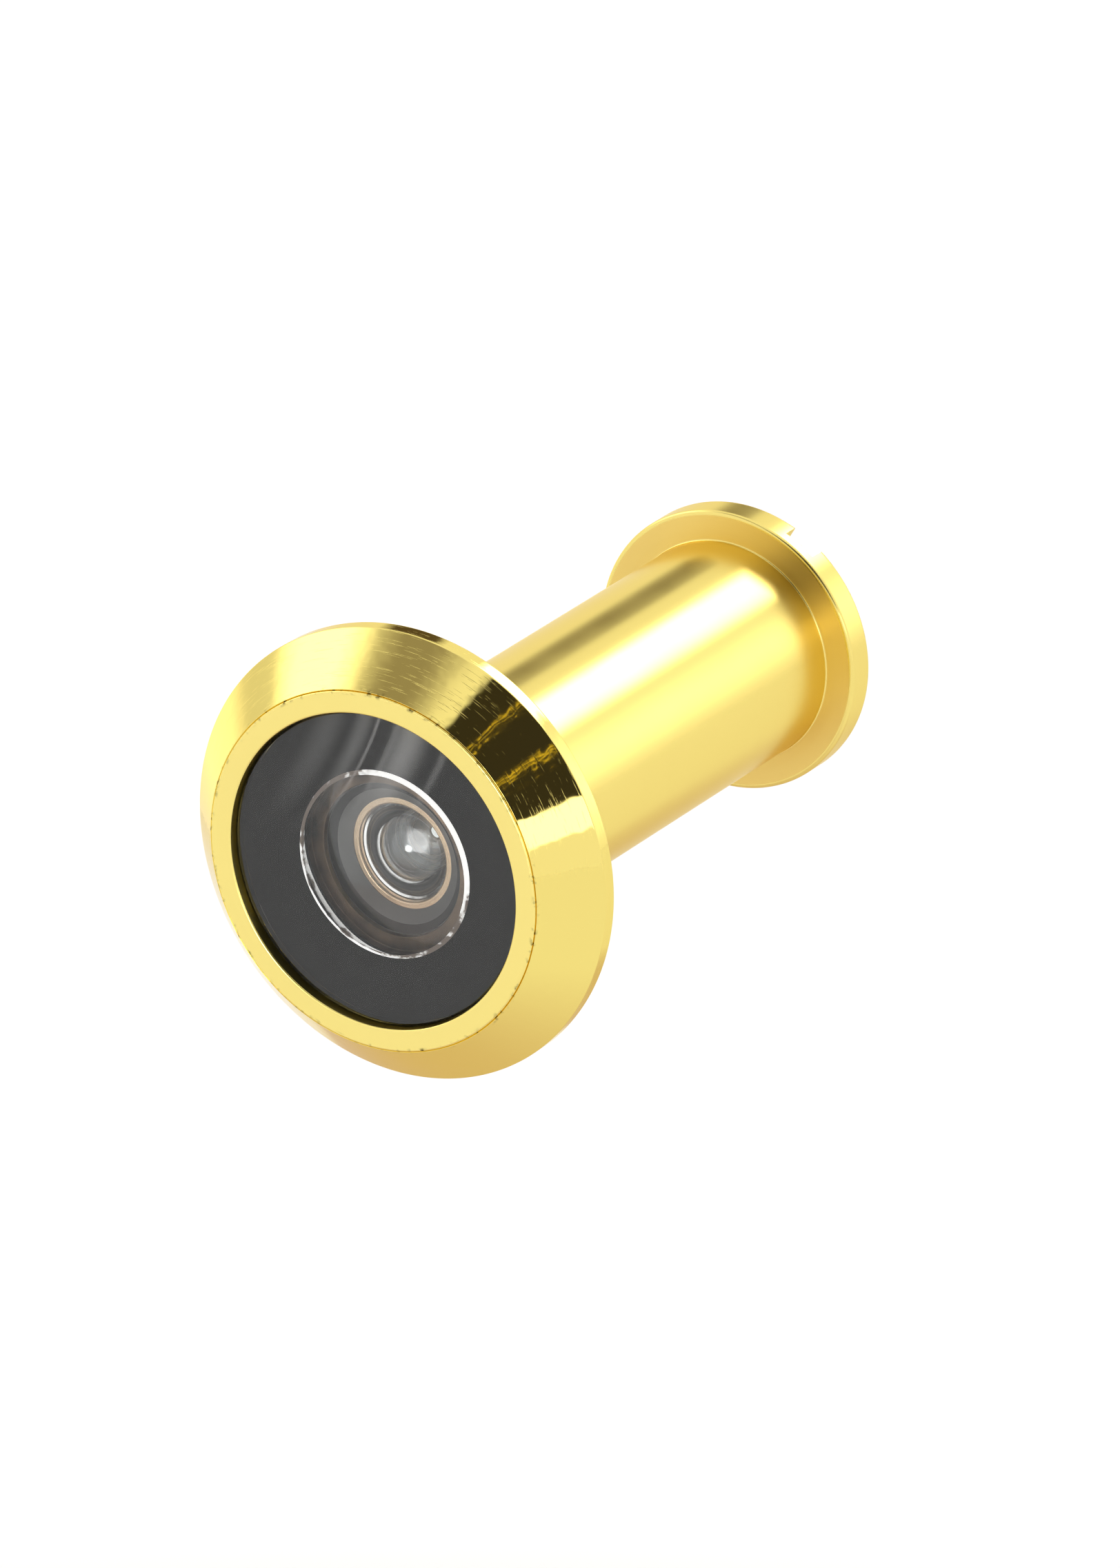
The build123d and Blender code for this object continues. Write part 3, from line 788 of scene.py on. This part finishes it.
raw_brass, tree, output = new_material("turned brass, unlacquered")
point, radius, along = turned_place(tree)
rings, marks = turning_marks(tree, radius, along, 5.0, 0.001)
tarnish = add(tree, "ShaderNodeTexNoise", {"Vector": point, "Scale": 0.35 / MM, "Detail": 4.0}).outputs[0]
raw_colour = add(
    tree, "ShaderNodeMix", {0: tarnish, 6: srgb("#D9C1A4"), 7: srgb("#BB9E80")}, data_type="RGBA"
).outputs[2]
raw_roughness = add(tree, "ShaderNodeMapRange", {"Value": rings, "To Min": 0.2, "To Max": 0.36}).outputs[0]
raw_surface = add(
    tree, "ShaderNodeBsdfPrincipled",
    {"Base Color": raw_colour, "Metallic": 1.0, "Roughness": raw_roughness, "Normal": marks.outputs[0]},
)
tree.links.new(raw_surface.outputs[0], output.inputs["Surface"])

cell = turned(
    "brass_cell",
    rounded(
        [(CELL_LIP_R, CONE_BACK_Y), (BORE_R - SNUG, CONE_BACK_Y), (BORE_R - SNUG, CELL_BACK_Y),
         (CELL_BORE_R, CELL_BACK_Y), (CELL_BORE_R, CELL_SEAT_Y), (CELL_LIP_R, CELL_SEAT_Y)],
        [0.12, 0.05, 0.05, 0.05, 0, 0.05],
    ),
    raw_brass,
)
finished(cell, "lens_cell", "front_half")

# The dome's foot and the hollow's edge are ground too. A painted white glow, by emission, is put on their
# lower-left side, broken up by noise.
lit_rim, tree, output = new_material("ground glass rim")
point = add(tree, "ShaderNodeTexCoord").outputs["Object"]
towards = add(tree, "ShaderNodeVectorMath", {0: point, 1: LOW_LEFT}, operation="DOT_PRODUCT")
rim_glow_noise = add(tree, "ShaderNodeTexNoise", {"Vector": point, "Scale": 0.9 / MM, "Detail": 3.0}).outputs[0]
reach = add(
    tree, "ShaderNodeMath", {0: rim_glow_noise, 1: 4 * MM, 2: towards.outputs["Value"]}, operation="MULTIPLY_ADD"
).outputs[0]
painted_lit_share = add(
    tree, "ShaderNodeMapRange", {"Value": reach, "From Min": 2.2 * MM, "From Max": 4.4 * MM}
).outputs[0]
rim_surface = add(
    tree, "ShaderNodeBsdfPrincipled",
    {"Base Color": srgb("#F2EFEC"), "Roughness": 0.8, "Emission Color": srgb("#FFFFFF"),
     "Emission Strength": 0.7},
)
rim_glow_surface = add(tree, "ShaderNodeMixShader", {0: painted_lit_share, 1: clear_glass(tree), 2: rim_surface.outputs[0]})
tree.links.new(rim_glow_surface.outputs[0], output.inputs["Surface"])

# The small dome is of a dense flint glass, which turns back twice as much light as crown glass.
flint, tree, output = new_material("polished flint glass")
tree.links.new(clear_glass(tree, FLINT_INDEX), output.inputs["Surface"])

RIM_WIDTH = 0.14
second = turned(
    "domed_second_lens",
    np.vstack([
        bowl(DOME_R, CELL_SEAT_Y, DOME_APEX_Y),
        [(DOME_R + RIM_WIDTH, CELL_SEAT_Y + GAP), (CELL_BORE_R - SNUG, CELL_SEAT_Y + GAP),
         (CELL_BORE_R - SNUG, SECOND_BACK_Y), (SECOND_HOLLOW_R + RIM_WIDTH, SECOND_BACK_Y)],
        bowl(SECOND_HOLLOW_R, SECOND_BACK_Y, SECOND_APEX_Y)[::-1],
    ]),
    flint,
)
# The two ground rims take the painted glow.
paint(second, lit_rim, CELL_SEAT_Y, CELL_SEAT_Y + GAP, DOME_R, DOME_R + RIM_WIDTH)
paint(second, lit_rim, SECOND_BACK_Y - PAINT_EDGE, SECOND_BACK_Y + PAINT_EDGE, SECOND_HOLLOW_R,
      SECOND_HOLLOW_R + RIM_WIDTH)
# The cylindrical edges of both lenses in the cell are blackened.
paint(second, black_paint, CELL_SEAT_Y + 2 * GAP, SECOND_BACK_Y - PAINT_EDGE, CELL_BORE_R - 2 * SNUG,
      CELL_BORE_R)
finished(second, "second_lens", "front_half")

spacer = turned(
    "black_spacer",
    rounded(
        [(CELL_BORE_R - SNUG, SECOND_BACK_Y + GAP), (CELL_BORE_R - SNUG, THIRD_FRONT_Y - GAP),
         (THIRD_R, THIRD_FRONT_Y - GAP), (THIRD_R, SECOND_BACK_Y + GAP)],
        [0.03] * 4,
    ),
    black_paint,
)
finished(spacer, "cell_spacer", "front_half")

third = turned(
    "third_lens_glass",
    np.vstack([
        bowl(THIRD_R, THIRD_FRONT_Y, THIRD_FRONT_Y + THIRD_FRONT_DEEP),
        [(CELL_BORE_R - SNUG, THIRD_FRONT_Y), (CELL_BORE_R - SNUG, THIRD_BACK_Y)],
        bowl(THIRD_R, THIRD_BACK_Y, THIRD_BACK_Y - THIRD_BACK_DEEP)[::-1],
    ]),
    glass,
)
paint(third, black_paint, THIRD_FRONT_Y, THIRD_BACK_Y, CELL_BORE_R - 2 * SNUG, CELL_BORE_R)
finished(third, "third_lens", "front_half")


def cut(piece, boxes):
    """Cuts boxes out of a piece: each has a centre, a direction, and its size along that
    direction, along the optical axis and across both."""
    for centre, direction, size in boxes:
        along, axis = Vector(direction).normalized(), Vector((0, 1, 0))
        across = along.cross(axis)
        signs = np.array([(a, b, c) for a in (-1, 1) for b in (-1, 1) for c in (-1, 1)], float) / 2
        frame_axes = np.array([along * size[0], axis * size[1], across * size[2]])
        corners = (signs @ frame_axes + np.array(centre)) * MM
        work = bmesh.new()
        for corner in corners:
            work.verts.new(corner)
        bmesh.ops.convex_hull(work, input=work.verts)
        bmesh.ops.recalc_face_normals(work, faces=work.faces)
        tool_mesh = bpy.data.meshes.new("cutter")
        work.to_mesh(tool_mesh)
        work.free()
        tool = bpy.data.objects.new("cutter", tool_mesh)
        bpy.context.scene.collection.objects.link(tool)
        modifier = piece.modifiers.new("cut", "BOOLEAN")
        modifier.operation, modifier.solver, modifier.object = "DIFFERENCE", "EXACT", tool
        graph = bpy.context.evaluated_depsgraph_get()
        made = bpy.data.meshes.new_from_object(piece.evaluated_get(graph))
        piece.modifiers.clear()
        old, piece.data = piece.data, made
        bpy.data.meshes.remove(old)
        bpy.data.objects.remove(tool)
        bpy.data.meshes.remove(tool_mesh)


NOTCH_WIDE, NOTCH_DEEP = 0.8, 0.6
CELL_RING_BACK_Y = 7.1
BARREL_RING_R, BARREL_RING_BACK_Y = 4.0, 8.9


def lock_ring(name, outer_r, hole_r, front_y, back_y, open_side):
    """A brass ring with two spanner notches across its open face, the back one or the front one."""
    ring = turned(
        name,
        rounded([(outer_r, front_y), (outer_r, back_y), (hole_r, back_y), (hole_r, front_y)], [0.08] * 4),
        raw_brass, segments=192,
    )
    open_y = back_y if open_side > 0 else front_y
    cut(ring, [((0, open_y, 0), (1, 0, 0), (3 * outer_r, 2 * NOTCH_DEEP, NOTCH_WIDE))])
    return ring


cell_ring = lock_ring("cell_ring", CELL_BORE_R - SNUG / 2, THIRD_R, THIRD_BACK_Y + GAP, CELL_RING_BACK_Y, 1)
finished(cell_ring, "cell_lock_ring", "front_half")
barrel_ring = lock_ring(
    "barrel_ring", BORE_R - SNUG / 2, BARREL_RING_R, CELL_BACK_Y, BARREL_RING_BACK_Y, 1
)
finished(barrel_ring, "barrel_lock_ring", "front_half")

# ------------------------------------------------------------------------------------ sleeve
# The room-side half: a drawn and turned brass tube with a slotted flange, lacquered. The lathe
# leaves rings round the axis, so light spreads along the tube and fans out over the flange.
SLEEVE_R, SLEEVE_FRONT_Y = 7.0, 0.3
RELIEF_R, MINOR_R = 6.45, 6.0
FLANGE_R, GRIP_Y, FLANGE_BACK_Y = 8.9, 36.0, 38.0
EYE_R, EYE_FLARE, EYE_SEAT_Y = 4.2, 0.5, 36.0
EYE_BORE_R, EYE_BORE_Y = 6.0, 32.9
SLOT_WIDE, SLOT_DEEP, SLOT_ANGLE = 2.2, 1.2, math.radians(58.5)

satin_tube, tree, output = new_material("satin drawn brass tube, lacquered")
point, radius, along = turned_place(tree)
rings, marks = turning_marks(tree, radius, along, 4.0, 0.0004)
mottle = add(tree, "ShaderNodeTexNoise", {"Vector": point, "Scale": 0.3 / MM, "Detail": 4.0}).outputs[0]
tube_roughness = add(
    tree, "ShaderNodeMapRange", {"Value": mottle, "To Min": 0.2, "To Max": 0.27}
).outputs[0]
round_axis = add(tree, "ShaderNodeTangent", direction_type="RADIAL", axis="Y").outputs[0]
tube_surface = add(
    tree, "ShaderNodeBsdfPrincipled",
    {"Base Color": srgb("#F0DA7E"), "Metallic": 1.0, "Roughness": tube_roughness, "Anisotropic": 0.7,
     "Anisotropic Rotation": 0.25, "Tangent": round_axis, "Specular Tint": GOLD_EDGE,
     "Normal": marks.outputs[0]},
)
tree.links.new(tube_surface.outputs[0], output.inputs["Surface"])

faced, tree, output = new_material("faced brass, lacquered")
point, radius, along = turned_place(tree)
rings, marks = turning_marks(tree, radius, along, 4.0, 0.001)
faced_roughness = add(
    tree, "ShaderNodeMapRange", {"Value": rings, "To Min": 0.32, "To Max": 0.44}
).outputs[0]
round_axis = add(tree, "ShaderNodeTangent", direction_type="RADIAL", axis="Y").outputs[0]
faced_surface = add(
    tree, "ShaderNodeBsdfPrincipled",
    {"Base Color": srgb("#F0D27A"), "Metallic": 1.0, "Roughness": faced_roughness, "Anisotropic": 0.85,
     "Anisotropic Rotation": 0.25, "Tangent": round_axis, "Specular Tint": GOLD_EDGE,
     "Normal": marks.outputs[0]},
)
tree.links.new(faced_surface.outputs[0], output.inputs["Surface"])

SLEEVE_SEGMENTS = 240
SLEEVE_THREAD_Y = (1.45, 9.9)
sleeve_outline = rounded(
    [(RELIEF_R, SLEEVE_FRONT_Y), (SLEEVE_R, SLEEVE_FRONT_Y), (SLEEVE_R, GRIP_Y), (FLANGE_R, GRIP_Y),
     (FLANGE_R, FLANGE_BACK_Y), (EYE_R + EYE_FLARE, FLANGE_BACK_Y), (EYE_R, FLANGE_BACK_Y - EYE_FLARE),
     (EYE_R, EYE_SEAT_Y), (EYE_BORE_R, EYE_SEAT_Y), (EYE_BORE_R, EYE_BORE_Y), (RELIEF_R, EYE_BORE_Y)],
    [0.08, 0.15, 0.12, 0.22, 0.22, 0.06, 0.06, 0.05, 0, 0.05, 0],
)
sleeve_outline = np.vstack([
    [RELIEF_R, SLEEVE_THREAD_Y[0]], sleeve_outline, [RELIEF_R, SLEEVE_THREAD_Y[1]],
])
tooth_slope = (ROOT_HALF - CREST_HALF) / (CREST_R - ROOT_R)
PLAY = 0.115                    # half the axial play between the two threads
FACED_EDGE = 0.3                # the flange's rounded edges stay outside the faced band


def gap_half(radius):
    """Half width that is left for the sleeve's thread between the barrel's, at a radius."""
    return PITCH / 2 - PLAY - CREST_HALF - tooth_slope * (CREST_R - radius)


sleeve = welded(
    "satin_sleeve",
    [lathe_strip(sleeve_outline, SLEEVE_SEGMENTS),
     thread_strip(RELIEF_R, MINOR_R, FIRST_RIDGE_Y + PITCH / 2, *SLEEVE_THREAD_Y, gap_half(MINOR_R),
                  gap_half(RELIEF_R), SLEEVE_SEGMENTS)],
    satin_tube,
)
slot_along = (math.cos(SLOT_ANGLE), 0, math.sin(SLOT_ANGLE))
cut(sleeve, [((0, FLANGE_BACK_Y, 0), slot_along, (3 * FLANGE_R, 2 * SLOT_DEEP, SLOT_WIDE))])
for face_y, hole_r in ((GRIP_Y, SLEEVE_R), (FLANGE_BACK_Y, EYE_R)):
    paint(sleeve, faced, face_y - 2 * PAINT_EDGE, face_y + 2 * PAINT_EDGE, hole_r, FLANGE_R - FACED_EDGE)
finished(sleeve, "rear_sleeve", "sleeve")

# ------------------------------------------------------------------------------------ eyepiece
# The converging lens at the eye, flat towards the room, between a black fibre washer and a
# screwed brass ring.
EYE_FLAT_Y, EYE_EDGE_Y, EYE_DOME_R, EYE_RISE = 35.7, 34.9, 4.9, 1.1
EYE_LENS_R, EYE_CHAMFER = EYE_BORE_R - SNUG, 0.1
WASHER_HOLE_R = 4.4
EYE_RING_R, EYE_RING_Y = 5.0, 33.3
eyepiece = turned(
    "eyepiece_glass",
    np.vstack([
        bowl(EYE_DOME_R, EYE_EDGE_Y, EYE_EDGE_Y - EYE_RISE),
        [(EYE_LENS_R, EYE_EDGE_Y), (EYE_LENS_R, EYE_FLAT_Y - EYE_CHAMFER),
         (EYE_LENS_R - EYE_CHAMFER, EYE_FLAT_Y), (EYE_LENS_R - EYE_CHAMFER - FLAT_MARGIN, EYE_FLAT_Y),
         (0, EYE_FLAT_Y)],
    ]),
    glass,
)
finished(eyepiece, "eyepiece_lens", "eyepiece_carriage")

fibre, tree, output = new_material("black vulcanised fibre")
point = add(tree, "ShaderNodeTexCoord").outputs["Object"]
fibres = add(tree, "ShaderNodeTexNoise", {"Vector": point, "Scale": 1.4 / MM, "Detail": 4.0}).outputs[0]
fibre_colour = add(
    tree, "ShaderNodeMix", {0: fibres, 6: srgb("#1C1A18"), 7: srgb("#2C2824")}, data_type="RGBA"
).outputs[2]
fibre_bump = add(tree, "ShaderNodeBump", {"Height": fibres, "Distance": 0.01 * MM, "Strength": 0.4})
fibre_surface = add(
    tree, "ShaderNodeBsdfPrincipled",
    {"Base Color": fibre_colour, "Roughness": 0.6, "Normal": fibre_bump.outputs[0]},
)
tree.links.new(fibre_surface.outputs[0], output.inputs["Surface"])

washer = turned(
    "fibre_washer",
    rounded(
        [(EYE_LENS_R, EYE_FLAT_Y + GAP), (EYE_LENS_R, EYE_SEAT_Y - GAP),
         (WASHER_HOLE_R, EYE_SEAT_Y - GAP), (WASHER_HOLE_R, EYE_FLAT_Y + GAP)],
        [0.04] * 4,
    ),
    fibre,
)
finished(washer, "eyepiece_washer", "eyepiece_carriage")

eye_ring = lock_ring("eyepiece_ring", EYE_BORE_R - SNUG / 2, EYE_RING_R, EYE_RING_Y, EYE_EDGE_Y - GAP, -1)
finished(eye_ring, "eyepiece_lock_ring", "sleeve")
